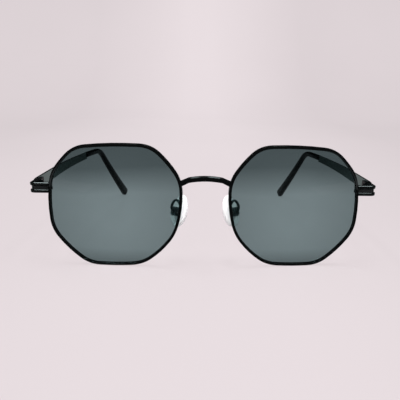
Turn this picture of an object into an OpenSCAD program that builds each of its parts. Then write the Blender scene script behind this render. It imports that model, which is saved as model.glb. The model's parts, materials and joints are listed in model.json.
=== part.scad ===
// Octagonal sunglasses: two grooved metal rims, seated lenses, folding temples and rocking nose pads.
// Millimetres. +Z is up, the wearer looks towards -Y, and the wearer's left is +X.
// The glasses stand open on their rims and temple tips, with the ground at Z = 0.

/* [Lens] */
// Width of a lens across its corners
lens_w = 52; // [48:0.1:56]
// Height of a lens across its corners
lens_h = 50.1; // [46:0.1:54]
// Gap between the two lenses at the nose
lens_gap = 20.7; // [18:0.1:24]
// Thickness of a lens
lens_t = 1.1; // [0.9:0.05:1.4]
// Radius of the ball that both lens faces follow
lens_ball_r = 130; // [110:5:200]
// Length of outline that each rounded corner takes up on its two sides
corner_len = 4.5; // [3:0.1:5]

/* [Rim] */
// Width of the rim as seen from the front
rim_w = 1.2; // [1:0.05:1.6]
// Depth of the rim, front to back
rim_d = 1.6; // [1.5:0.05:2.4]
// Radius of the rim's outer and inner edges
rim_edge = 0.25; // [0.15:0.05:0.3]
// Depth of the groove that holds the lens
groove_d = 0.4; // [0.3:0.05:0.5]
// Width of the slot where the rim is split behind the end piece
split_gap = 0.3; // [0.2:0.05:0.6]

/* [Front] */
// Lean of the front, top forward, in degrees
front_tilt = 5; // [2:0.5:9]
// Turn of each lens towards the temple, in degrees
front_wrap = 4; // [2:0.5:6]
// Distance from a rim out to the outside of its end piece
end_out = 7.6; // [6.6:0.05:10]

/* [Bridge] */
// Height of the bridge bar
bridge_h = 2.2; // [1.6:0.05:3]
// Depth of the bridge bar, front to back
bridge_d = 1.5; // [1.3:0.05:2.2]
// Place of the bridge's ends on the rims' rounded upper nose corners, as a share of the corner
bridge_turn = 0.43; // [0.3:0.01:0.6]
// Rise of the bridge from its ends to its creases
bridge_step = 1.35; // [0.4:0.05:2]
// Rise of the bridge from its creases to its middle
bridge_arch = 0.6; // [0.2:0.05:2]
// Distance from the middle of the bridge to each crease
bridge_crease = 6.6; // [4:0.1:7]

/* [End piece] */
// Height of the end piece and of the temple at the hinge
end_h = 4.2; // [3.9:0.05:5]
// Height of the end pieces' middle above the lens's, as a share of the rim's half height
end_share = 0.2965; // [0.24:0.0005:0.3]
// Thickness of the end piece and of the temple plate
end_t = 1.2; // [1:0.05:1.5]
// Outer radius of the end piece's corner, seen from above
end_corner = 2.2; // [1.8:0.1:2.6]
// Distance from the front face back to the hinge axis
hinge_back = 6.4; // [6.2:0.1:9]
// Height of the channel between the two ribs
channel_h = 1.5; // [1:0.05:1.8]
// Depth of the channel between the two ribs
channel_d = 0.55; // [0.3:0.05:0.7]

/* [Hinge] */
// Outer radius of the hinge barrel
barrel_r = 1.3; // [1.1:0.05:1.5]
// Height of the hinge barrel
barrel_h = 3.8; // [3.3:0.1:3.8]
// Radius of the hinge screw's and rim screw's shafts
screw_r = 0.6; // [0.4:0.05:0.7]
// Thickness of the hinge leaves
leaf_t = 0.7; // [0.5:0.05:0.9]
// Length of a hinge leaf's plate
front_leaf_len = 2.6; // [2:0.1:2.9]
// Length of the temple's hinge leaf's plate
temple_leaf_len = 5; // [3:0.1:8]

/* [Temple] */
// Distance behind the hinge at which the temple starts to bow inwards
bow_start = 24.5; // [15:0.5:35]
// Radius of the temple's bow, seen from above
bow_r = 285; // [240:5:500]
// Length of the temple's plate, measured behind the hinge
plate_len = 71.5; // [60:0.5:76]
// Height of the temple's upper edge above the end piece's
plate_rise = 0.4; // [0:0.05:0.6]
// Height that the plate loses on its lower edge, from the start of its bow to its rear end
plate_drop = 1.1; // [0:0.05:1.4]
// Length of the channel on the temple's outer face
temple_channel = 22; // [10:0.5:24]
// Distance behind the hinge of the bend over the ear
bend_at = 90.5; // [84:0.1:100]
// Radius of the bend over the ear
bend_r = 12; // [8:0.5:16]
// Angle of the tip below level, in degrees
drop_angle = 45.5; // [38:0.1:52]

/* [Temple tip] */
// Thickness of the tip at its mouth
tip_t = 2.6; // [2.4:0.1:3.2]
// Height of the tip at its mouth
tip_h = 2.8; // [2.6:0.1:3.6]
// Thickness of the tip at its paddle
paddle_t = 3.3; // [2.8:0.1:4]
// Height of the tip at its paddle
paddle_h = 5; // [4:0.1:7]
// Thickness of the temple's core wire
core_t = 1; // [0.8:0.05:1.3]
// Height of the temple's core wire
core_h = 1.6; // [1.2:0.05:1.7]
// Length of tip behind the end of the core wire
core_stop = 9; // [6:0.5:20]

/* [Nose pads] */
// Distance from the rim at the nose, sideways, to the middle of a pad's box
box_out = 2.35; // [1.8:0.05:4]
// Distance from the rim's back at the nose to the middle of a pad's box
box_back = 4.9; // [4.2:0.1:7]
// Height of the pad's box below the seat of its arm on the rim
box_down = 2.85; // [1:0.05:4]
// Radius of the pad's box
box_r = 1.9; // [1.7:0.05:2.2]
// Length of the pad's box
box_len = 2.2; // [2:0.05:2.6]
// Turn of the pad out of the fore-and-aft plane, in degrees
pad_splay = 43; // [25:1:45]
// Lean of the pad's top towards the nose, in degrees
pad_lean = 18; // [5:1:20]
// Length of the nose pad
pad_len = 13.4; // [11:0.1:14]
// Width of the nose pad
pad_w = 8.6; // [6.5:0.1:9]
// Thickness of the nose pad
pad_t = 2.5; // [2:0.1:3]
// Radius of the pad arm's wire
arm_r = 0.55; // [0.45:0.05:0.7]
// Rise of the pad arm's loop above its seat on the rim
arm_rise = 2.4; // [1.5:0.1:3.5]
// Radius of the pad screw's shaft
pad_screw_r = 0.4; // [0.3:0.05:0.5]

/* [Fit] */
// Gap between pieces that are seated or soldered together
seat = 0.03; // [0.02:0.01:0.05]
// Gap all round the lens in its groove and the core in its tip
fit_gap = 0.05; // [0.03:0.01:0.08]
// Gap between a screw and its bore, on the radius
run_gap = 0.05; // [0.03:0.01:0.08]
// Gap between two knuckles, and between the temple and the end piece
knuckle_gap = 0.06; // [0.04:0.01:0.1]

/* [Hidden] */
$fn = 48;
eps = 0.01;
far = 60;

// The octagon's corners as shares of the rim's half width and height, clockwise from the top at the nose
SHAPE = [
    [-0.55, 0.99], [0.565, 0.94], [0.94, 0.513], [1, -0.4],
    [0.463, -1.005], [-0.36, -0.977], [-0.905, -0.41], [-1, 0.435]
];
// How far the side that ends at each corner bows outwards, as a share of its length
BOW = [0.057, 0.031, 0.031, 0.038, 0.052, 0.013, 0.063, 0.052];
SIDES = len(SHAPE);
SPLIT_SIDE = 3;
NOSE_SIDE = 7;
side_steps = 4;
corner_steps = 6;

half_w = lens_w / 2 + rim_w - groove_d + fit_gap;
half_h = lens_h / 2 + rim_w - groove_d + fit_gap;
lens_set = (rim_d - lens_t) / 2;
tongue_t = 0.5;
groove_mid = lens_set + lens_t / 2;

// Small vector helpers
function unit(v) = v / norm(v);
function mix(a, b, f) = a + (b - a) * f;
function left_of(d) = [-d[1], d[0]];
function cross_2d(a, b) = a[0] * b[1] - a[1] * b[0];
function meet(p, d, q, e) = p + d * cross_2d(q - p, e) / cross_2d(d, e);

// The rim's outer outline: bowed sides joined by rounded corners, as [u, v, normal u, normal v]
function round_to(i) = (i + SIDES) % SIDES;
function corner(i) = [SHAPE[round_to(i)][0] * half_w, SHAPE[round_to(i)][1] * half_h];
function side_run(i) = corner(i) - corner(i - 1);
function side_trim(i) = corner_len / norm(side_run(i));
function side_at(i, f) =
    corner(i - 1) + side_run(i) * f + left_of(side_run(i)) * BOW[round_to(i)] * 4 * f * (1 - f);
function side_slope(i, f) = unit(side_run(i) + left_of(side_run(i)) * BOW[round_to(i)] * 4 * (1 - 2 * f));
function station(p, d) = [p[0], p[1], left_of(d)[0], left_of(d)[1]];
function side_station(i, f) = station(side_at(i, f), side_slope(i, f));
function side_stations(i, from, to, steps) =
    [for (k = [0:steps]) side_station(i, mix(from, to, k / steps))];
function whole_side(i) = side_stations(i, side_trim(i), 1 - side_trim(i), side_steps);
function corner_station(i, t) =
    let (
        p = side_at(i, 1 - side_trim(i)),
        d = side_slope(i, 1 - side_trim(i)),
        q = side_at(i + 1, side_trim(i + 1)),
        e = side_slope(i + 1, side_trim(i + 1)),
        m = meet(p, d, q, e)
    )
    station(mix(mix(p, m, t), mix(m, q, t), t), unit(mix(m - p, q - m, t)));
function corner_stations(i) = [for (k = [1:corner_steps - 1]) corner_station(i, k / corner_steps)];

// The loop starts and ends at the split, which lies level with the middle of the end piece
end_up = end_share * half_h;
split_at = (corner(SPLIT_SIDE - 1)[1] - end_up) / (corner(SPLIT_SIDE - 1)[1] - corner(SPLIT_SIDE)[1]);
split_half = split_gap / 2 / norm(side_run(SPLIT_SIDE));
split = side_station(SPLIT_SIDE, split_at);
RIM_LOOP = concat(
    side_stations(SPLIT_SIDE, split_at + split_half, 1 - side_trim(SPLIT_SIDE), side_steps - 1),
    corner_stations(SPLIT_SIDE),
    [for (i = [SPLIT_SIDE + 1:SPLIT_SIDE + SIDES - 1]) each concat(whole_side(i), corner_stations(i))],
    side_stations(SPLIT_SIDE, side_trim(SPLIT_SIDE), split_at - split_half, 2)
);

// The rim's section, as [distance in from the outer edge, distance back from the front face]
groove_flare = 0.13;
groove_floor = tongue_t / 2 + fit_gap;
groove_mouth = groove_floor + groove_flare;
round_mid = 1 - cos(45);
rim_bevel = round_mid * rim_edge;
RIM_SECTION = [
    [0, rim_edge], [rim_bevel, rim_bevel], [rim_edge, 0],
    [rim_w - rim_edge, 0], [rim_w - rim_bevel, rim_bevel], [rim_w, rim_edge],
    [rim_w, groove_mid - groove_mouth], [rim_w - groove_d, groove_mid - groove_floor],
    [rim_w - groove_d, groove_mid + groove_floor], [rim_w, groove_mid + groove_mouth],
    [rim_w, rim_d - rim_edge], [rim_w - rim_edge, rim_d], [rim_edge, rim_d], [0, rim_d - rim_edge]
];

// A place on or behind the ball-shaped front, in the lens's own frame of [u, back, v]
function ball_back(u, v) = lens_ball_r - sqrt(lens_ball_r * lens_ball_r - u * u - v * v);
function inset(s, a) = [s[0] - a * s[2], s[1] - a * s[3]];
function on_ball(p, d) = [p[0], ball_back(p[0], p[1]) + d, p[1]];
RIM_RINGS = [for (s = RIM_LOOP) [for (q = RIM_SECTION) on_ball(inset(s, q[0]), q[1])]];

// From the lens's own frame to the glasses' frame, before the lens height is known
function turned(p) = [
    p[0] * cos(front_wrap) - p[1] * sin(front_wrap),
    p[0] * sin(front_wrap) + p[1] * cos(front_wrap),
    p[2]
];
function leaned(p) = [
    p[0],
    p[1] * cos(front_tilt) - p[2] * sin(front_tilt),
    p[1] * sin(front_tilt) + p[2] * cos(front_tilt)
];
lens_x = (lens_gap + lens_w) / 2;
lens_z = -min([for (ring = RIM_RINGS) each [for (p = ring) leaned(turned(p))[2]]]);
function placed(p) = leaned(turned(p)) + [lens_x, 0, lens_z];

// Places that several pieces share
rim_x = placed(on_ball([split[0], split[1]], 0))[0];
outer_x = rim_x + end_out;
end_z = lens_z + end_up;
end_y = placed(on_ball([split[0], split[1]], 0))[1];
hinge_x = outer_x - end_t - knuckle_gap - barrel_r;
hinge_y = end_y + hinge_back;
inner_x = outer_x - end_t;
knuckle_h = (barrel_h - 2 * knuckle_gap) / 3;

// The temple's line: straight, then round a wide arc seen from above, then down over the ear
bow_y = hinge_y + bow_start;
core_bow_r = bow_r - end_t / 2;
plate_sweep = (plate_len - bow_start) / bow_r * 180 / PI;
tip_z = end_z + end_h / 2 + plate_rise - tip_h / 2;
bend_start = bend_at - bend_r * tan(drop_angle / 2);
bend_len = bend_r * drop_angle * PI / 180;
cap_len = 2.4;
cap_blunt = 0.12;
CAP = [for (k = [0:3]) let (a = 30 * k) [cap_len * (1 - sin(a)), max(cos(a), cap_blunt)]];
tip_under = max([for (c = CAP) cos(drop_angle) * paddle_h / 2 * c[1] - c[0] * sin(drop_angle)]);
tip_fall = tip_z - tip_under;
drop_len = (tip_fall - bend_r * (1 - cos(drop_angle))) / sin(drop_angle);
tip_end = bend_start + bend_len + drop_len;

// Lengths at which the core, its bore and the tip all have a ring, so that they bend alike
bend_steps = 6;
core_root = 0.5;
swell_from = bend_start + bend_len;
BEND_STATIONS = [for (k = [0:bend_steps]) bend_start + bend_len * k / bend_steps];
function core_stations(from, to) = concat([from, mix(plate_len, bend_start, 0.5)], BEND_STATIONS, [to]);

// At a length s behind the hinge: [level distance, height, angle below level]
function side_line(s) =
    s <= bend_start ? [s, tip_z, 0] :
    s <= bend_start + bend_len ?
        let (a = (s - bend_start) / bend_len * drop_angle)
        [bend_start + bend_r * sin(a), tip_z - bend_r * (1 - cos(a)), a] :
    let (r = s - bend_start - bend_len)
    [
        bend_start + bend_r * sin(drop_angle) + r * cos(drop_angle),
        tip_z - bend_r * (1 - cos(drop_angle)) - r * sin(drop_angle),
        drop_angle
    ];
function temple_ring(s, w, h) =
    let (
        line = side_line(s),
        turn = (line[0] - bow_start) / bow_r * 180 / PI,
        out = [cos(turn), sin(turn), 0],
        up = [-sin(turn) * sin(line[2]), cos(turn) * sin(line[2]), cos(line[2])],
        mid = [outer_x - bow_r, bow_y, line[1]] + out * core_bow_r
    )
    [for (q = rounded_section(w, h)) mid + out * q[0] + up * q[1]];
squareness = 0.6;
function squared(c) = sign(c) * pow(abs(c), squareness);
function rounded_section(w, h) =
    [for (k = [0:11]) let (a = 15 + 30 * k) [w / 2 * squared(cos(a)), h / 2 * squared(sin(a))]];

// The front and rear of the glasses' box, which is centred on the origin: a lens's bulge and a tip's end
TIP_RINGS_END = [for (c = CAP) temple_ring(tip_end - c[0], paddle_t * c[1], paddle_h * c[1])];
front_edge = (lens_ball_r + lens_set) * cos(front_wrap) * cos(front_tilt) - lens_ball_r;
rear_edge = max([for (ring = TIP_RINGS_END) each [for (p = ring) p[1]]]);
mid_y = (front_edge + rear_edge) / 2;

// Closed skins from lists of rings
function ring_sides(rings, n, first, flip) = [
    for (i = [0:rings - 2], j = [0:n - 1])
        let (
            a = first + i * n + j,
            b = first + i * n + (j + 1) % n,
            c = b + n,
            d = a + n
        )
        each flip ? [[a, c, b], [a, d, c]] : [[a, b, c], [a, c, d]]
];
function ring_fan(n, first, flip) =
    [for (j = [1:n - 2]) flip ? [first, first + j, first + j + 1] : [first, first + j + 1, first + j]];

// A solid through rings of points, each closed by a flat end
module loft(rings) {
    n = len(rings[0]);
    polyhedron(
        [for (r = rings) each r],
        concat(
            ring_sides(len(rings), n, 0, false),
            ring_fan(n, 0, false),
            ring_fan(n, (len(rings) - 1) * n, true)
        )
    );
}

// The same with a blind bore: both lists of rings start at the mouth
module bored_loft(rings, bore) {
    n = len(rings[0]);
    inner = len(rings) * n;
    mouth = [for (j = [0:n - 1]) each [
        [j, inner + (j + 1) % n, (j + 1) % n],
        [j, inner + j, inner + (j + 1) % n]
    ]];
    polyhedron(
        concat([for (r = rings) each r], [for (r = bore) each r]),
        concat(
            ring_sides(len(rings), n, 0, false),
            ring_fan(n, (len(rings) - 1) * n, true),
            mouth,
            ring_sides(len(bore), n, inner, true),
            ring_fan(n, inner + (len(bore) - 1) * n, false)
        )
    );
}

// Left pieces are drawn at +X, and right pieces are their mirror image
module on_side(side) {
    translate([0, -mid_y, 0]) mirror([side < 0 ? 1 : 0, 0, 0]) children();
}
module in_lens_frame() {
    translate([lens_x, 0, lens_z]) rotate([front_tilt, 0, 0]) rotate([0, 0, front_wrap]) children();
}

// Everything inside the rim's outer wall at the split, with a seat's gap, and no deeper than depth
module rim_room(depth) {
    in_lens_frame()
        translate([split[0], 0, split[1]])
            rotate([0, -atan2(split[3], split[2]), 0])
                translate([seat - far, -far, -far / 2])
                    cube([far, far + depth, far]);
}

// A grooved wire bent round the octagon and split behind the end piece
module rim() {
    color("black") in_lens_frame() loft(RIM_RINGS);
}

// One solid of the lens: the outline drawn in by a, between two balls
module lens_layer(a, front, back) {
    difference() {
        intersection() {
            translate([0, far, 0]) rotate([90, 0, 0])
                linear_extrude(2 * far) polygon([for (s = RIM_LOOP) inset(s, a)]);
            translate([0, lens_ball_r + front, 0]) sphere(lens_ball_r, $fn = 180);
        }
        translate([0, lens_ball_r + back, 0]) sphere(lens_ball_r, $fn = 180);
    }
}
module lens() {
    color("darkslategray", 0.6) in_lens_frame() {
        lens_layer(rim_w + fit_gap, lens_set, lens_set + lens_t);
        lens_layer(rim_w - groove_d + fit_gap, groove_mid - tongue_t / 2, groove_mid + tongue_t / 2);
    }
}

// The bridge: a bar with chamfered upper edges, whose ends are cut to lie on the rims' upper nose corners
bridge_seat = corner_station(NOSE_SIDE, bridge_turn);
bridge_foot = placed(on_ball([bridge_seat[0], bridge_seat[1]], rim_d / 2));
bridge_face = leaned(turned([bridge_seat[2], 0, bridge_seat[3]]));
bridge_steps = 6;
bridge_chamfer = 0.45;
bridge_edge = 0.3;
function bridge_section() =
    let (w = bridge_d / 2, h = bridge_h / 2, c = bridge_chamfer, r = bridge_edge, s = r * round_mid)
    [
        [w, h - c], [w - c, h], [c - w, h], [-w, h - c],
        [-w, r - h], [s - w, s - h], [r - w, -h], [w - r, -h], [w - s, s - h], [w, r - h]
    ];
function bridge_line(x) =
    let (crease = bridge_foot[2] + bridge_step)
    abs(x) >= bridge_crease ?
        mix(crease, bridge_foot[2], (abs(x) - bridge_crease) / (bridge_foot[0] - bridge_crease)) :
        crease + bridge_arch * (1 - pow(x / bridge_crease, 2));
function bridge_end(side) = [
    for (q = bridge_section())
        let (
            y = bridge_foot[1] + q[0],
            z = bridge_foot[2] + q[1],
            x = bridge_foot[0]
                + (seat - bridge_face[1] * q[0] - bridge_face[2] * q[1]) / bridge_face[0]
        )
        [side * x, y, z]
];
module bridge() {
    color("black") translate([0, -mid_y, 0]) loft(concat(
        [bridge_end(-1)],
        [for (k = [-bridge_steps:bridge_steps])
            let (x = bridge_crease * k / bridge_steps)
            [for (q = bridge_section()) [x, bridge_foot[1] + q[0], bridge_line(x) + q[1]]]],
        [bridge_end(1)]
    ));
}

// The plate's section, as [distance in from the outer face, height]: two ribs, or plain
rib_r = min(0.35, 0.8 * channel_d);
rib_mid = round_mid * rib_r;
function half_section(ribbed, top) = concat(
    [[end_t, top], [rib_r, top], [rib_mid, top - rib_mid], [0, top - rib_r]],
    ribbed ? [
        [0, channel_h / 2 + rib_r], [rib_mid, channel_h / 2 + rib_mid], [rib_r, channel_h / 2],
        [channel_d, channel_h / 2]
    ] : []
);
function mirrored(points) = [for (i = [len(points) - 1:-1:0]) [points[i][0], -points[i][1]]];
module plate_section(ribbed, rise) {
    polygon(concat(half_section(ribbed, end_h / 2 + rise), mirrored(half_section(ribbed, end_h / 2))));
}

// The end piece: the ribbed section run out from the rim, round the corner and back to the hinge
end_run = 12;
module end_piece() {
    color("black") difference() {
        union() {
            translate([outer_x - end_corner - end_run, end_y, end_z]) rotate([90, 0, 90])
                linear_extrude(end_run) plate_section(true, 0);
            translate([outer_x - end_corner, end_y + end_corner, end_z]) rotate([0, 0, -90])
                rotate_extrude(angle = 90)
                    translate([end_corner, 0]) mirror([1, 0]) plate_section(true, 0);
            translate([outer_x, end_y + end_corner, end_z]) rotate([90, 0, 180])
                linear_extrude(hinge_back - end_corner - knuckle_gap) plate_section(true, 0);
        }
        rim_room(far);
    }
}

// The closing blocks: one on each end of the split rim, drawn together by a screw
block_gap = 0.3;
block_reach = 0.35;
block_recess = 0.6;
block_w = hinge_x - barrel_r - block_gap - rim_x;
block_d = hinge_back - end_t - barrel_r - 2 * block_gap;
block_y = end_y + end_t + seat;
block_top = end_h / 2 - block_recess;
rim_screw_x = rim_x + block_w / 2;
rim_screw_y = block_y + block_d / 2;
module closing_block(bottom, top) {
    color("dimgray") difference() {
        translate([rim_x - block_reach, block_y, end_z + bottom])
            cube([block_reach + block_w, block_d, top - bottom]);
        rim_room(ball_back(split[0], split[1]) + rim_d + seat);
        translate([rim_screw_x, rim_screw_y, end_z - far / 2]) cylinder(h = far, r = screw_r + run_gap);
    }
}
module upper_closing_block() {
    closing_block(split_gap / 2, block_top);
}
module lower_closing_block() {
    closing_block(-block_top, -split_gap / 2);
}

// A slotted screw: its shaft starts at the origin and points up, and its head hangs below
module slotted_screw(shaft_r, shaft_len, head_r, head_t) {
    difference() {
        union() {
            cylinder(h = shaft_len, r = shaft_r);
            translate([0, 0, -head_t]) cylinder(h = head_t, r = head_r);
        }
        translate([-head_r, -head_r / 6, -head_t - eps]) cube([2 * head_r, head_r / 3, head_t / 2]);
    }
}
head_t = 0.4;
head_rim = 0.4;
module rim_screw() {
    color("silver") translate([rim_screw_x, rim_screw_y, end_z - block_top - seat])
        slotted_screw(screw_r, 2 * block_top, screw_r + head_rim, head_t);
}

// The hinge: two knuckles on the front, one on the temple, and a screw down through all three
hinge_head_t = 0.3;
module knuckle(bottom) {
    translate([hinge_x, hinge_y, end_z + bottom]) cylinder(h = knuckle_h, r = barrel_r);
}
module hinge_bore() {
    translate([hinge_x, hinge_y, end_z - far / 2]) cylinder(h = far, r = screw_r + run_gap);
}
leaf_x = inner_x - seat;
web_end = barrel_r + 0.2;
web_start = 0.3;
module front_hinge_leaf() {
    color("gray") difference() {
        union() {
            for (bottom = [-barrel_h / 2, barrel_h / 2 - knuckle_h]) {
                knuckle(bottom);
                translate([hinge_x, hinge_y - web_end - eps, end_z + bottom])
                    cube([leaf_x - hinge_x, web_end - web_start, knuckle_h]);
            }
            translate([leaf_x - leaf_t, hinge_y - web_end - front_leaf_len, end_z - barrel_h / 2])
                cube([leaf_t, front_leaf_len, barrel_h]);
        }
        hinge_bore();
    }
}
module temple_hinge_leaf() {
    color("gray") difference() {
        union() {
            knuckle(-knuckle_h / 2);
            translate([hinge_x, hinge_y + web_start, end_z - knuckle_h / 2])
                cube([leaf_x - hinge_x, web_end - web_start + eps, knuckle_h]);
            translate([leaf_x - leaf_t, hinge_y + web_end, end_z - barrel_h / 2])
                cube([leaf_t, temple_leaf_len, barrel_h]);
        }
        hinge_bore();
    }
}
module hinge_screw() {
    color("silver") translate([hinge_x, hinge_y, end_z + barrel_h / 2 + seat])
        rotate([180, 0, 0]) slotted_screw(screw_r, barrel_h, screw_r + head_rim, hinge_head_t);
}

// The temple: a channelled plate that bows inwards and runs on as the core wire inside its tip
core_end = tip_end - core_stop;
rise_run = 3;
drop_run = plate_len - bow_start;
module temple() {
    color("black") {
        difference() {
            union() {
                translate([outer_x, hinge_y + knuckle_gap, end_z]) rotate([90, 0, 180])
                    linear_extrude(temple_channel - knuckle_gap) plate_section(true, plate_rise);
                translate([outer_x, hinge_y + temple_channel, end_z]) rotate([90, 0, 180])
                    linear_extrude(bow_start - temple_channel) plate_section(false, plate_rise);
                translate([outer_x - bow_r, bow_y, end_z])
                    rotate_extrude(angle = plate_sweep)
                        translate([bow_r, 0]) mirror([1, 0]) plate_section(false, plate_rise);
            }
            translate([outer_x - channel_d, hinge_y + temple_channel, end_z]) rotate([0, 90, 0])
                cylinder(h = far, r = channel_h / 2);
            translate([0, hinge_y, end_z + end_h / 2]) rotate([90, 0, 90])
                linear_extrude(far * 2)
                    polygon([[0, 0], [rise_run, plate_rise], [rise_run, end_h], [0, end_h]]);
            translate([0, bow_y, end_z - end_h / 2]) rotate([90, 0, 90])
                linear_extrude(far * 2)
                    polygon([[0, 0], [drop_run, plate_drop], [drop_run, -end_h], [0, -end_h]]);
        }
        loft([for (s = core_stations(plate_len - core_root, core_end)) temple_ring(s, core_t, core_h)]);
    }
}

// The tip: a moulded sleeve that swells into a paddle, with a blind bore for the core wire
tip_mouth = plate_len + knuckle_gap;
tip_lip = 0.3;
bore_spare = 0.6;
TIP_STATIONS = concat(
    [tip_mouth, tip_mouth + tip_lip, mix(tip_mouth, bend_start, 0.6)],
    BEND_STATIONS,
    [for (k = [1:4]) mix(swell_from, tip_end - cap_len, k / 4)]
);
flare = 1.3;
function swell(s) = s <= swell_from ? 0 : min(1, (s - swell_from) / (tip_end - cap_len - swell_from));
function tip_ring(s) =
    let (lip = s == tip_mouth ? tip_lip : 0)
    temple_ring(s, mix(tip_t, paddle_t, swell(s)) - lip, mix(tip_h, paddle_h, pow(swell(s), flare)) - lip);
module temple_tip() {
    color("black") bored_loft(
        concat([for (s = TIP_STATIONS) tip_ring(s)], [for (k = [1:3]) TIP_RINGS_END[k]]),
        [for (s = core_stations(tip_mouth, core_end + bore_spare))
            temple_ring(s, core_t + 2 * fit_gap, core_h + 2 * fit_gap)]
    );
}

// The pad's frame: the origin is in the middle of the box, X runs to the pad and Y to the front edge
arm_seat = side_station(NOSE_SIDE, 0.5);
arm_foot = placed(on_ball(inset(arm_seat, rim_w / 2), rim_d + seat));
box_mid = arm_foot + [box_out, box_back, -box_down];
module in_pad_frame() {
    translate(box_mid) rotate([0, 0, 180 - pad_splay]) rotate([0, pad_lean, 0]) children();
}
function from_pad(p) =
    let (
        x = p[0] * cos(pad_lean) + p[2] * sin(pad_lean),
        z = p[2] * cos(pad_lean) - p[0] * sin(pad_lean),
        a = 180 - pad_splay
    )
    box_mid + [x * cos(a) - p[1] * sin(a), x * sin(a) + p[1] * cos(a), z];

// The pad arm: a round wire that loops up behind the rim and down to the back of the box
function bezier(p, t) =
    let (
        a = mix(p[0], p[1], t), b = mix(p[1], p[2], t), c = mix(p[2], p[3], t),
        d = mix(a, b, t), e = mix(b, c, t)
    )
    mix(d, e, t);
function carried(ways, n, i = 0) =
    i == len(ways) ? [] : let (m = unit(n - ways[i] * (n * ways[i]))) concat([m], carried(ways, m, i + 1));
arm_steps = 7;
arm_start_pull = 1.4;
arm_top_pull = [1.2, 0.9, 0];
arm_end_pull = [-2.6, 0, 1];
arm_top = [mix(arm_foot[0], box_mid[0], 0.75), mix(arm_foot[1], box_mid[1], 0.6), arm_foot[2] + arm_rise];
arm_end = [-box_len / 2 - seat, 0, 0];
ARM_CURVES = [
    [arm_foot, arm_foot + leaned(turned([0, arm_start_pull, 0])), arm_top - arm_top_pull, arm_top],
    [arm_top, arm_top + arm_top_pull, from_pad(arm_end + arm_end_pull), from_pad(arm_end)]
];
ARM_LINE = concat(
    [for (k = [0:arm_steps]) bezier(ARM_CURVES[0], k / arm_steps)],
    [for (k = [1:arm_steps]) bezier(ARM_CURVES[1], k / arm_steps)]
);
function way(line, i) = unit(line[min(i + 1, len(line) - 1)] - line[max(i - 1, 0)]);
ARM_WAYS = concat(
    [leaned(turned([0, 1, 0]))],
    [for (i = [1:len(ARM_LINE) - 2]) way(ARM_LINE, i)],
    [from_pad([1, 0, 0]) - box_mid]
);
ARM_OUT = carried(ARM_WAYS, [1, 0, 0]);
module pad_arm() {
    color("dimgray") loft([for (i = [0:len(ARM_LINE) - 1])
        let (out = ARM_OUT[i], up = cross(out, ARM_WAYS[i]))
        [for (k = [0:7]) ARM_LINE[i] + arm_r * (out * cos(45 * k) + up * sin(45 * k))]]);
}

// The pad's box: a cup with flat cheeks, a slot for the insert's stud, and a bore for the screw
cheek = 1.5;
slot_w = 1.2;
stud_r = 0.75;
stud_room = 0.1;
rock_gap = 0.35;
pad_head = 0.35;
module pad_box() {
    color("dimgray") in_pad_frame() difference() {
        intersection() {
            translate([-box_len / 2, 0, 0]) rotate([0, 90, 0]) cylinder(h = box_len, r = box_r);
            cube([2 * box_len, 2 * cheek, 2 * far], center = true);
        }
        translate([-stud_r - stud_room, -slot_w / 2, -stud_r - rock_gap])
            cube([box_len, slot_w, 2 * (stud_r + rock_gap)]);
        rotate([90, 0, 0]) cylinder(h = 2 * box_r, r = pad_screw_r + run_gap, center = true);
    }
}
module pad_screw() {
    color("silver") in_pad_frame() translate([0, cheek + seat, 0]) rotate([90, 0, 0])
        slotted_screw(pad_screw_r, 2 * cheek, pad_screw_r + pad_head, pad_head);
}

// The pad's insert: a thin plate inside the silicone, and the stud that the screw goes through
pad_back = box_len / 2 + rock_gap;
plate_t = 0.6;
plate_x = pad_back + (pad_t - plate_t) / 2;
stud_gap = 0.08;
stud_w = slot_w - 2 * stud_gap;
neck_half = 0.8 * stud_r;
plate_r = 1.6;
plate_half = 2.6;
pad_up = 0.5;
module insert_plate(extra) {
    translate([plate_x - extra, 0, pad_up]) rotate([0, 90, 0]) linear_extrude(plate_t + 2 * extra)
        union() {
            square([2 * plate_half, 2 * (plate_r + extra)], center = true);
            translate([plate_half, 0]) circle(plate_r + extra);
            translate([-plate_half, 0]) circle(plate_r + extra);
        }
}
module insert_neck(extra) {
    translate([0, -stud_w / 2 - extra, -neck_half - extra])
        cube([plate_x + eps, stud_w + 2 * extra, 2 * (neck_half + extra)]);
}
module pad_insert() {
    color("gainsboro") in_pad_frame() difference() {
        union() {
            insert_plate(0);
            insert_neck(0);
            rotate([90, 0, 0]) cylinder(h = stud_w, r = stud_r, center = true);
        }
        rotate([90, 0, 0]) cylinder(h = 2 * stud_w, r = pad_screw_r + run_gap, center = true);
    }
}

// The nose pad: a soft teardrop with a domed nose side and a pocket for the insert
pad_points = 24;
pad_taper = 0.14;
// Its layers, as [share of the thickness, share of the width]
PAD_LAYERS = [[0, 0.9], [0.12, 0.98], [0.45, 1], [0.75, 0.9], [0.93, 0.7], [1, 0.42]];
function pad_ring(depth, share) = [
    for (k = [0:pad_points - 1])
        let (a = 360 * k / pad_points, narrow = 1 - pad_taper * sin(a))
        [
            pad_back + pad_t * depth,
            pad_w / 2 * share * narrow * cos(a),
            pad_up + pad_len / 2 * (1 - (1 - share) * pad_w / pad_len) * sin(a)
        ]
];
module nose_pad() {
    color("white", 0.6) in_pad_frame() difference() {
        loft([for (l = PAD_LAYERS) pad_ring(l[0], l[1])]);
        insert_plate(seat);
        insert_neck(seat);
    }
}

LEFT = 1;
RIGHT = -1;

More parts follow.
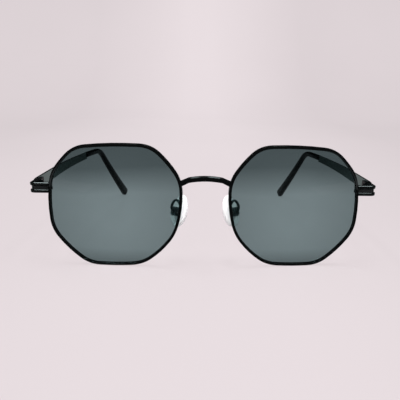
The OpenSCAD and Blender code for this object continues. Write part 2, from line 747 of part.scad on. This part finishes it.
bridge();
on_side(LEFT) rim();  // left_rim
on_side(RIGHT) rim();  // right_rim
on_side(LEFT) lens();  // left_lens
on_side(RIGHT) lens();  // right_lens
on_side(LEFT) end_piece();  // left_end_piece
on_side(RIGHT) end_piece();  // right_end_piece
on_side(LEFT) upper_closing_block();  // left_upper_closing_block
on_side(RIGHT) upper_closing_block();  // right_upper_closing_block
on_side(LEFT) lower_closing_block();  // left_lower_closing_block
on_side(RIGHT) lower_closing_block();  // right_lower_closing_block
on_side(LEFT) rim_screw();  // left_rim_screw
on_side(RIGHT) rim_screw();  // right_rim_screw
on_side(LEFT) front_hinge_leaf();  // left_front_hinge_leaf
on_side(RIGHT) front_hinge_leaf();  // right_front_hinge_leaf
on_side(LEFT) temple_hinge_leaf();  // left_temple_hinge_leaf
on_side(RIGHT) temple_hinge_leaf();  // right_temple_hinge_leaf
on_side(LEFT) hinge_screw();  // left_hinge_screw
on_side(RIGHT) hinge_screw();  // right_hinge_screw
on_side(LEFT) temple();  // left_temple
on_side(RIGHT) temple();  // right_temple
on_side(LEFT) temple_tip();  // left_temple_tip
on_side(RIGHT) temple_tip();  // right_temple_tip
on_side(LEFT) pad_arm();  // left_pad_arm
on_side(RIGHT) pad_arm();  // right_pad_arm
on_side(LEFT) pad_box();  // left_pad_box
on_side(RIGHT) pad_box();  // right_pad_box
on_side(LEFT) pad_screw();  // left_pad_screw
on_side(RIGHT) pad_screw();  // right_pad_screw
on_side(LEFT) pad_insert();  // left_pad_insert
on_side(RIGHT) pad_insert();  // right_pad_insert
on_side(LEFT) nose_pad();  // left_nose_pad
on_side(RIGHT) nose_pad();  // right_nose_pad
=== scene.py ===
import json
import math

import bpy
from mathutils import Matrix, Vector


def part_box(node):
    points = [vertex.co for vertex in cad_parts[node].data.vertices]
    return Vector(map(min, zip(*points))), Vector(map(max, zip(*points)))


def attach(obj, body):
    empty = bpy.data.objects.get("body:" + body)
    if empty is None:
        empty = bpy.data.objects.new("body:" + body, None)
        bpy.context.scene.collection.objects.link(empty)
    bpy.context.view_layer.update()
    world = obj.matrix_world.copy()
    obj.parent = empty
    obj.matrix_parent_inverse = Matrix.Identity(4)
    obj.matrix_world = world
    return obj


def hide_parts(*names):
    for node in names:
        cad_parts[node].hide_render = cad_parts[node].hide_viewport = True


# Lengths are in metres and in the frame's axes: +X is the wearer's left, the wearer looks
# towards -Y, and Z = 0 is the table
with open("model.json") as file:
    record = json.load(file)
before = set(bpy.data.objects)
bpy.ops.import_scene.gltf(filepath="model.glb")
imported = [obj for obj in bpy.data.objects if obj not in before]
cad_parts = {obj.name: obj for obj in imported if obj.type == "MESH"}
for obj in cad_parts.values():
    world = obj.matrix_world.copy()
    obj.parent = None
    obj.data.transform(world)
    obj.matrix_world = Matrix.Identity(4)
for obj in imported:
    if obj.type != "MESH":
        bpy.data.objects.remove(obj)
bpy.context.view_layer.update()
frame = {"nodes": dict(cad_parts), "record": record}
scene = bpy.context.scene
NODES = frame["nodes"]
SIDES = (("left", 1.0), ("right", -1.0))

# Camera, fitted to both rims' outlines in the photo
CAMERA_AT = Vector((-0.00262, -0.24459, 0.0756))
YAW, PITCH, ROLL = (math.radians(angle) for angle in (2.531, 16.871, 1.166))
# The photo's width and height, the focal length and the lens axis, all in its pixels
PHOTO_SIZE = 400
FOCAL_LENGTH = 464.89
AXIS_X, AXIS_Y = 218.44, 220.93
# Blender gives the sensor's width in millimetres
SENSOR_WIDTH = 36.0
CLIP_START = 0.01


def add_camera():
    data = bpy.data.cameras.new("camera")
    camera = bpy.data.objects.new("camera", data)
    scene.collection.objects.link(camera)
    data.sensor_fit = "HORIZONTAL"
    data.sensor_width = SENSOR_WIDTH
    data.lens = FOCAL_LENGTH / PHOTO_SIZE * SENSOR_WIDTH
    data.shift_x = 0.5 - AXIS_X / PHOTO_SIZE
    data.shift_y = AXIS_Y / PHOTO_SIZE - 0.5
    data.clip_start = CLIP_START
    turn = (
        Matrix.Rotation(ROLL, 3, "Y")
        @ Matrix.Rotation(PITCH, 3, "X")
        @ Matrix.Rotation(YAW, 3, "Z")
    )
    right, ahead, up = turn
    pose = Matrix((right, up, -ahead)).transposed().to_4x4()
    pose.translation = CAMERA_AT
    camera.matrix_world = pose
    scene.camera = camera


# Materials
class Shader:
    """A Principled material with its nodes reached by short calls."""

    def __init__(self, name):
        self.material = bpy.data.materials.new(name)
        self.material.use_nodes = True
        self.tree = self.material.node_tree
        self.bsdf = self.tree.nodes["Principled BSDF"]

    def node(self, kind, **values):
        new = self.tree.nodes.new(kind)
        for key, value in values.items():
            setattr(new, key, value)
        return new

    def link(self, source, target):
        self.tree.links.new(source, target)

    def put(self, **values):
        """Sets constants on the Principled shader's own sockets."""
        for key, value in values.items():
            self.bsdf.inputs[key.replace("_", " ")].default_value = value

    def place(self, stretch=(1, 1, 1)):
        """Where a point of the surface is, in the frame's axes."""
        coords = self.node("ShaderNodeTexCoord").outputs["Object"]
        if stretch == (1, 1, 1):
            return coords
        mapping = self.node("ShaderNodeMapping")
        mapping.inputs["Scale"].default_value = stretch
        self.link(coords, mapping.inputs["Vector"])
        return mapping.outputs["Vector"]

    def axes(self):
        """The place's X, Y and Z, each by itself."""
        split = self.node("ShaderNodeSeparateXYZ")
        self.link(self.place(), split.inputs["Vector"])
        return split.outputs

    def maths(self, operation, *values):
        """One step of arithmetic on sockets and numbers."""
        sums = self.node("ShaderNodeMath", operation=operation)
        for value, socket in zip(values, sums.inputs):
            if isinstance(value, float):
                socket.default_value = value
            else:
                self.link(value, socket)
        return sums.outputs[0]

    def noise(self, scale, detail=3.0, rough=0.5, stretch=(1, 1, 1)):
        noise = self.node("ShaderNodeTexNoise")
        noise.inputs["Scale"].default_value = scale
        noise.inputs["Detail"].default_value = detail
        noise.inputs["Roughness"].default_value = rough
        self.link(self.place(stretch), noise.inputs["Vector"])
        return noise.outputs["Fac"]

    def ramp(self, value, first, last, low=0.3, high=0.7):
        """The first colour up to a low value, and the last one from a high value."""
        ramp = self.node("ShaderNodeValToRGB")
        start, end = ramp.color_ramp.elements
        start.position, start.color = low, first
        end.position, end.color = high, last
        self.link(value, ramp.inputs["Fac"])
        return ramp.outputs["Color"]

    def between(self, value, first, last, low=0.3, high=0.7):
        """The first number up to a low value, and the last one from a high value."""
        spread = self.node("ShaderNodeMapRange")
        spread.inputs["From Min"].default_value = low
        spread.inputs["From Max"].default_value = high
        spread.inputs["To Min"].default_value = first
        spread.inputs["To Max"].default_value = last
        self.link(value, spread.inputs["Value"])
        return spread.outputs["Result"]

    def colour(self, socket):
        self.link(socket, self.bsdf.inputs["Base Color"])

    def scale_colour(self, scale):
        """Multiplies the base colour that is already linked, which can also lighten it."""
        shade = self.node("ShaderNodeVectorMath", operation="SCALE")
        self.link(self.bsdf.inputs["Base Color"].links[0].from_socket, shade.inputs[0])
        self.link(scale, shade.inputs["Scale"])
        self.colour(shade.outputs["Vector"])

    def roughness(self, socket):
        self.link(socket, self.bsdf.inputs["Roughness"])

    def bump(self, height, depth):
        bump = self.node("ShaderNodeBump")
        bump.inputs["Distance"].default_value = depth
        self.link(height, bump.inputs["Height"])
        self.link(bump.outputs["Normal"], self.bsdf.inputs["Normal"])


# Each pair is a surface's darker and lighter colour, or its lower and higher roughness
BLACK = (0.029, 0.0345, 0.035, 1), (0.039, 0.0455, 0.046, 1)
BLACK_ROUGH = 0.1, 0.16
BLACK_EDGE = (0.82, 0.95, 0.92, 1)
DARK = (0.0015, 0.002, 0.0021, 1), (0.003, 0.004, 0.0042, 1)
DARK_ROUGH = 0.35, 0.5
STEEL = (0.1, 0.1, 0.103, 1), (0.16, 0.16, 0.165, 1)
STEEL_ROUGH = 0.22, 0.38
TIP = (0.0015, 0.002, 0.0022, 1), (0.003, 0.0038, 0.004, 1)
TIP_ROUGH = 0.18, 0.27
INSERT = (0.62, 0.64, 0.66, 1), (0.72, 0.74, 0.75, 1)
SILICONE = (0.93, 0.935, 0.94, 1), (0.98, 0.985, 0.99, 1)
SILICONE_ROUGH = 0.1, 0.2
# Depth of the finest bumps on metal, and on plastic and silicone
METAL_PEEL, PLASTIC_PEEL = 3e-6, 5e-6
# Painted light and shade: the pads' mounts, nearer the middle than these, are painted this many
# times lighter than the hinges, which stay dark as painted shade
MOUNTS_TO, HINGES_FROM = 0.03, 0.04
MOUNTS_PAINTED_LIGHTER = 14.0

# The lens's tint below and above, the heights between which it darkens, and how wavy that is. The
# darker upper part is painted shade, standing in for the dim wall seen through the lens
TINT_LOW, TINT_HIGH = (0.224, 0.309, 0.314, 1), (0.1, 0.144, 0.148, 1)
TINT_FROM, TINT_TO = 0.0352, 0.046
TINT_WAVE = 0.006
# The lens is clearest round this point and darkens outwards to a share of its colour
CLEAREST = (0.036, 0, 0.024)
EDGE_FROM, EDGE_TO = 0.007, 0.027
EDGE_SHARE = 0.8
# It darkens again towards its foot, below these heights: a painted shadow, standing in for the
# shadow on the table seen through the lens's lower part
FOOT_FROM, FOOT_TO = 0.002, 0.008
FOOT_PAINTED_SHADOW_SHARE = 0.7


def lacquer(name, colours, roughness, peel):
    shader = Shader(name)
    shader.colour(shader.ramp(shader.noise(scale=700.0, detail=4.0), *colours, low=0.35))
    shader.roughness(shader.between(shader.noise(scale=2600.0, detail=5.0), *roughness))
    shader.bump(shader.noise(scale=5200.0, detail=2.0), peel)
    return shader


def black_plating():
    shader = lacquer("black_plating", BLACK, BLACK_ROUGH, METAL_PEEL)
    shader.put(Metallic=0.93, Specular_Tint=BLACK_EDGE)
    return shader.material


def dark_plating():
    shader = lacquer("dark_plating", DARK, DARK_ROUGH, METAL_PEEL)
    shader.put(Specular_IOR_Level=0.06)
    # Painted light and shade: the colour is lighter on the pads' mounts near the middle and darker
    # on the hinges
    reach = shader.maths("ABSOLUTE", shader.axes()["X"])
    shader.scale_colour(
        shader.between(reach, MOUNTS_PAINTED_LIGHTER, 1.0, low=MOUNTS_TO, high=HINGES_FROM)
    )
    return shader.material


def screw_steel():
    shader = Shader("screw_steel")
    lines = shader.noise(scale=4200.0, detail=4.0, rough=0.6, stretch=(1, 1, 0.08))
    shader.colour(shader.ramp(lines, *STEEL, high=0.75))
    shader.roughness(shader.between(lines, *STEEL_ROUGH))
    shader.bump(lines, METAL_PEEL)
    shader.put(Metallic=1.0)
    return shader.material


def tip_plastic():
    shader = lacquer("tip_plastic", TIP, TIP_ROUGH, PLASTIC_PEEL)
    shader.put(Specular_IOR_Level=0.18)
    return shader.material


def tinted_lens():
    """Clear glass, coloured by height and by the distance from its clearest point. Its darker top
    and its darker foot are painted shade.
    """
    shader = Shader("tinted_lens")
    place = shader.axes()
    # Painted shade: the lens darkens upwards, standing in for the dim wall seen through it
    wavy = shader.maths("MULTIPLY_ADD", shader.noise(scale=30.0, detail=1.0), TINT_WAVE, place["Z"])
    height = shader.between(wavy, 0.0, 1.0, low=TINT_FROM, high=TINT_TO)
    shader.colour(shader.ramp(height, TINT_LOW, TINT_HIGH, low=0.0, high=1.0))
    spot = shader.node("ShaderNodeCombineXYZ")
    shader.link(shader.maths("ABSOLUTE", place["X"]), spot.inputs["X"])
    shader.link(place["Z"], spot.inputs["Z"])
    reach = shader.node("ShaderNodeVectorMath", operation="DISTANCE")
    reach.inputs[1].default_value = CLEAREST
    shader.link(spot.outputs[0], reach.inputs[0])
    edge = shader.between(reach.outputs["Value"], 1.0, EDGE_SHARE, low=EDGE_FROM, high=EDGE_TO)
    # Painted shadow: the lens darkens towards its foot
    foot = shader.between(place["Z"], FOOT_PAINTED_SHADOW_SHARE, 1.0, low=FOOT_FROM, high=FOOT_TO)
    shader.scale_colour(shader.maths("MULTIPLY", foot, edge))
    shader.put(Transmission_Weight=1.0, Roughness=0.0, IOR=1.0)
    shader.put(Coat_Weight=0.2, Coat_IOR=1.5, Coat_Roughness=0.01)
    return shader.material


def insert_plastic():
    shader = Shader("insert_plastic")
    shader.colour(shader.ramp(shader.noise(scale=900.0), *INSERT))
    shader.put(Transmission_Weight=0.35, Roughness=0.2, IOR=1.46)
    return shader.material


def pad_silicone():
    shader = Shader("pad_silicone")
    shader.colour(shader.ramp(shader.noise(scale=420.0), *SILICONE, high=0.75))
    shader.roughness(shader.between(shader.noise(scale=3000.0, detail=4.0), *SILICONE_ROUGH))
    shader.bump(shader.noise(scale=2400.0), PLASTIC_PEEL)
    shader.put(Transmission_Weight=0.42, IOR=1.41, Subsurface_Weight=0.5, Subsurface_Scale=0.001)
    shader.put(Subsurface_Radius=(1.0, 1.0, 1.0))
    return shader.material


def make_materials():
    """One material for each slot of the record."""
    return {
        "black_metal": black_plating(),
        "dark_metal": dark_plating(),
        "screw_steel": screw_steel(),
        "tinted_lens": tinted_lens(),
        "tip_plastic": tip_plastic(),
        "insert_plastic": insert_plastic(),
        "pad_silicone": pad_silicone(),
    }


# Shading of the solids
WELD = 1e-6
# Degrees up to which an edge between two faces is shaded smooth
SMOOTH_TO, BRIDGE_SMOOTH_TO = 50.0, 35.0


def smoothing_group(name, degrees):
    """Joins the split corners and smooths every edge flatter than the angle."""
    group = bpy.data.node_groups.new(name, "GeometryNodeTree")
    for way in ("INPUT", "OUTPUT"):
        group.interface.new_socket("Geometry", in_out=way, socket_type="NodeSocketGeometry")
    inside = group.nodes.new("NodeGroupInput")
    outside = group.nodes.new("NodeGroupOutput")
    forget = group.nodes.new("GeometryNodeRemoveAttribute")
    forget.inputs["Name"].default_value = "custom_normal"
    merge = group.nodes.new("GeometryNodeMergeByDistance")
    merge.inputs["Distance"].default_value = WELD
    faces = group.nodes.new("GeometryNodeSetShadeSmooth")
    edges = group.nodes.new("GeometryNodeSetShadeSmooth")
    edges.domain = "EDGE"
    turn = group.nodes.new("GeometryNodeInputMeshEdgeAngle")
    flat = group.nodes.new("FunctionNodeCompare")
    flat.data_type = "FLOAT"
    flat.operation = "LESS_THAN"
    flat.inputs["B"].default_value = math.radians(degrees)
    for source, target in (
        (inside.outputs["Geometry"], forget.inputs["Geometry"]),
        (forget.outputs["Geometry"], merge.inputs["Geometry"]),
        (merge.outputs["Geometry"], faces.inputs["Geometry"]),
        (faces.outputs["Geometry"], edges.inputs["Geometry"]),
        (turn.outputs["Unsigned Angle"], flat.inputs["A"]),
        (flat.outputs["Result"], edges.inputs["Shade Smooth"]),
        (edges.outputs["Geometry"], outside.inputs["Geometry"]),
    ):
        group.links.new(source, target)
    return group


def dress_solids(materials):
    """Puts the materials on. The lenses cast no shadow, so light reaches the pads behind."""
    rounded = smoothing_group("rounded", SMOOTH_TO)
    facetted = smoothing_group("facetted", BRIDGE_SMOOTH_TO)
    slots = {part["node"]: part["material_slot"] for part in frame["record"]["subparts"]}
    for name, obj in NODES.items():
        for slot in obj.material_slots:
            slot.link = "OBJECT"
            slot.material = materials[slots[name]]
        smooth = obj.modifiers.new("smooth", "NODES")
        smooth.node_group = facetted if name == "bridge" else rounded
        obj.visible_shadow = slots[name] != "tinted_lens"


# Nose pads
# Which way a pad faces, how far it leans, and how far its back is from the middle of its box
PAD_TURN, PAD_LEAN = math.radians(180 - 43), math.radians(18)
BOX_BACK = 0.00145
PAD_THICK, PAD_WIDE, PAD_LONG = 0.0025, 0.0086, 0.0134
# How far the pad's middle is above its box's, and by what share it is narrower above
# and wider below
PAD_UP, PAD_TAPER = 0.0005, 0.14
PAD_POINTS = 56
# From back to front: share of the thickness, and the outline's share of its full width there
PAD_PROFILE = (
    (0.0, 0.86), (0.03, 0.92), (0.09, 0.965), (0.18, 0.99), (0.32, 1.0), (0.48, 0.995),
    (0.62, 0.96), (0.75, 0.9), (0.86, 0.81), (0.94, 0.69), (0.985, 0.54), (1.0, 0.38),
)


def pad_frame(side):
    """Where a pad goes, always on the wearer's left. The right pad is its mirror image."""
    lo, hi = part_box(side + "_pad_box")
    middle = (lo + hi) / 2
    middle.x = abs(middle.x)
    turn = Matrix.Rotation(PAD_TURN, 4, "Z") @ Matrix.Rotation(PAD_LEAN, 4, "Y")
    return Matrix.Translation(middle) @ turn


def pad_ring(depth, share):
    """The pad's outline at one depth, inset by about the same width all round."""
    half_long = PAD_LONG / 2 * (1 - (1 - share) * PAD_WIDE / PAD_LONG)
    for point in range(PAD_POINTS):
        angle = math.tau * point / PAD_POINTS
        narrow = 1 - PAD_TAPER * math.sin(angle)
        yield Vector((
            BOX_BACK + PAD_THICK * depth,
            PAD_WIDE / 2 * share * narrow * math.cos(angle),
            PAD_UP + half_long * math.sin(angle),
        ))


def pad_faces(count):
    """Four-sided faces between each ring and the next, and one face over each end."""
    faces = []
    for first in range(0, count - PAD_POINTS, PAD_POINTS):
        for point in range(PAD_POINTS):
            here, beside = first + point, first + (point + 1) % PAD_POINTS
            faces.append((here, beside, beside + PAD_POINTS, here + PAD_POINTS))
    faces.append(tuple(range(PAD_POINTS))[::-1])
    faces.append(tuple(range(count - PAD_POINTS, count)))
    return faces


def nose_pad(side, sign, material):
    place = pad_frame(side)
    points = [place @ point for row in PAD_PROFILE for point in pad_ring(*row)]
    verts = [(point.x * sign, point.y, point.z) for point in points]
    faces = pad_faces(len(verts))
    if sign < 0:
        faces = [face[::-1] for face in faces]
    mesh = bpy.data.meshes.new(side + "_silicone_pad")
    mesh.from_pydata(verts, [], faces)
    mesh.validate()
    mesh.shade_smooth()
    obj = bpy.data.objects.new(side + "_silicone_pad", mesh)
    scene.collection.objects.link(obj)
    mesh.materials.append(material)
    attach(obj, side + "_pad_unit")
    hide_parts(side + "_nose_pad")


# Floor and light
PAPER = (0.791, 0.716, 0.738)
# How much the paper glows, how little other light it shows, and how cloudy its tone is
GLOW, MATT = 0.822, 0.06
CLOUD = (0.985, 1.015)
# Towards both sides the glow falls to a share of itself
SIDE_NEAR, SIDE_FAR = 0.03, 0.25
SIDE_SHARE = 0.87
# From the object to the wall it grows from one share to another
DEPTH_NEAR, DEPTH_FAR = 0.0, 1.0
NEAR_SHARE, FAR_SHARE = 0.985, 1.15

# The sweep in side view, from its front end to the top of its wall, and its width each way
FRONT_END, FRONT_LINE, CURVE_FROM = -1.4, -0.06, 0.7
CURVE_RADIUS, WALL_TOP = 0.35, 1.2
CURVE_STEPS = 16
HALF_WIDE = 1.6
# How many of its points belong to the sheet that the gloss mirrors; the wall starts at the last
MIRRORED_POINTS = 10
# The paper lies this far below Z = 0, which the rims touch
UNDER_FLOOR = 0.00005
# A band across the front floor, of which the gloss mirrors only the two sides
BAND, SIDES_FROM = (-0.2, -0.155), 0.105

WORLD_STRENGTH = 0.85
# Name, place, size and power of the lights that shine straight down
BRIDGE_LIGHTS = (
    ("overhead_left", (-0.143, -0.24, 0.9), (0.133, 0.12), 0.18),
    ("overhead_right", (0.135, -0.24, 0.9), (0.175, 0.12), 0.33),
)
END_LIGHTS = (
    ("side_left", (-0.345, -0.05, 0.85), (0.14, 0.8), 6.5),
    ("side_right", (0.4, -0.05, 0.85), (0.14, 0.8), 4.3),
)
END_LIGHTS_SKIP = ("bridge", "left_rim", "right_rim")
# Name, place, aim, size and power of the lights for the matt surfaces
FILL_LIGHTS = (
    ("overhead_fill", (0.0, -0.1, 0.8), (0, -0.03, 0.0), (0.3, 0.3), 8.0),
    ("front_fill", (0.0, -0.7, 0.5), (0, -0.05, 0.02), (0.4, 0.4), 5.0),
)


def sweep_paper():
    shader = Shader("sweep_paper")
    place = shader.axes()
    reach = shader.maths("ABSOLUTE", place["X"])
    across = shader.between(reach, 1.0, SIDE_SHARE, low=SIDE_NEAR, high=SIDE_FAR)
    along = shader.between(place["Y"], NEAR_SHARE, FAR_SHARE, low=DEPTH_NEAR, high=DEPTH_FAR)
    cloud = shader.noise(scale=3.0)
    for share, socket in ((MATT, "Base Color"), (1.0, "Emission Color")):
        tones = (tuple(part * tone * share for part in PAPER) + (1,) for tone in CLOUD)
        shader.link(shader.ramp(cloud, *tones), shader.bsdf.inputs[socket])
    glow = shader.maths("MULTIPLY", shader.maths("MULTIPLY", across, along), GLOW)
    shader.link(glow, shader.bsdf.inputs["Emission Strength"])
    shader.put(Roughness=0.95, Specular_IOR_Level=0.05)
    return shader.material


def sheet_of_paper(name, line, span, material):
    """One flat or curved strip of the backdrop, from its side view."""
    verts = [(x, y, z) for y, z in line for x in span]
    faces = [(2 * row, 2 * row + 1, 2 * row + 3, 2 * row + 2) for row in range(len(line) - 1)]
    mesh = bpy.data.meshes.new(name)
    mesh.from_pydata(verts, [], faces)
    mesh.shade_smooth()
    mesh.materials.append(material)
    paper = bpy.data.objects.new(name, mesh)
    paper.location.z = -UNDER_FLOOR
    scene.collection.objects.link(paper)
    return paper


def sweep_line():
    """The sweep's side view from the object to the top of the wall, as (y, z)."""
    line = [(FRONT_LINE, 0.0), (CURVE_FROM, 0.0)]
    for step in range(1, CURVE_STEPS + 1):
        angle = math.pi / 2 * step / CURVE_STEPS
        rise = CURVE_RADIUS * (1 - math.cos(angle))
        line.append((CURVE_FROM + CURVE_RADIUS * math.sin(angle), rise))
    line.append((CURVE_FROM + CURVE_RADIUS, WALL_TOP))
    return line


def add_sweep():
    """A floor that curves up into the backdrop. The gloss mirrors only some of its sheets."""
    paper = sweep_paper()
    line = sweep_line()
    band = [(y, 0.0) for y in BAND]
    full = (-HALF_WIDE, HALF_WIDE)
    for name, part, span, mirrored in (
        ("sweep", line[:MIRRORED_POINTS], full, True),
        ("wall", line[MIRRORED_POINTS - 1:], full, False),
        ("near_front", [band[1], line[0]], full, False),
        ("far_front", [(FRONT_END, 0.0), band[0]], full, False),
        ("band_middle", band, (-SIDES_FROM, SIDES_FROM), False),
        ("band_left", band, (-HALF_WIDE, -SIDES_FROM), True),
        ("band_right", band, (SIDES_FROM, HALF_WIDE), True),
    ):
        sheet_of_paper(name, part, span, paper).visible_glossy = mirrored


def area_light(name, at, aim, size, power):
    data = bpy.data.lights.new(name, "AREA")
    data.shape = "RECTANGLE"
    data.size, data.size_y = size
    data.energy = power
    light = bpy.data.objects.new(name, data)
    scene.collection.objects.link(light)
    light.location = at
    light.rotation_euler = (Vector(aim) - Vector(at)).to_track_quat("-Z", "Y").to_euler()
    return light


def straight_down(name, at, size, power):
    return area_light(name, at, (at[0], at[1], 0), size, power)


def keep_off(light, names):
    """Leaves some of the solids out of what a light shines on."""
    group = bpy.data.collections.new("out_of_" + light.name)
    for name in names:
        group.objects.link(NODES[name])
    for member in group.collection_objects:
        member.light_linking.link_state = "EXCLUDE"
    light.light_linking.receiver_collection = group


def add_light():
    """A pale world and the lights. The gloss mirrors neither the world nor the fill lights."""
    world = bpy.data.worlds.new("studio")
    scene.world = world
    world.use_nodes = True
    back = world.node_tree.nodes["Background"]
    back.inputs["Color"].default_value = PAPER + (1,)
    back.inputs["Strength"].default_value = WORLD_STRENGTH
    world.cycles_visibility.glossy = False
    for light in BRIDGE_LIGHTS:
        straight_down(*light)
    for light in END_LIGHTS:
        keep_off(straight_down(*light), END_LIGHTS_SKIP)
    for light in FILL_LIGHTS:
        area_light(*light).visible_glossy = False


add_camera()
materials = make_materials()
dress_solids(materials)
for side, sign in SIDES:
    nose_pad(side, sign, materials["pad_silicone"])
add_sweep()
add_light()
scene.view_settings.view_transform = "Standard"
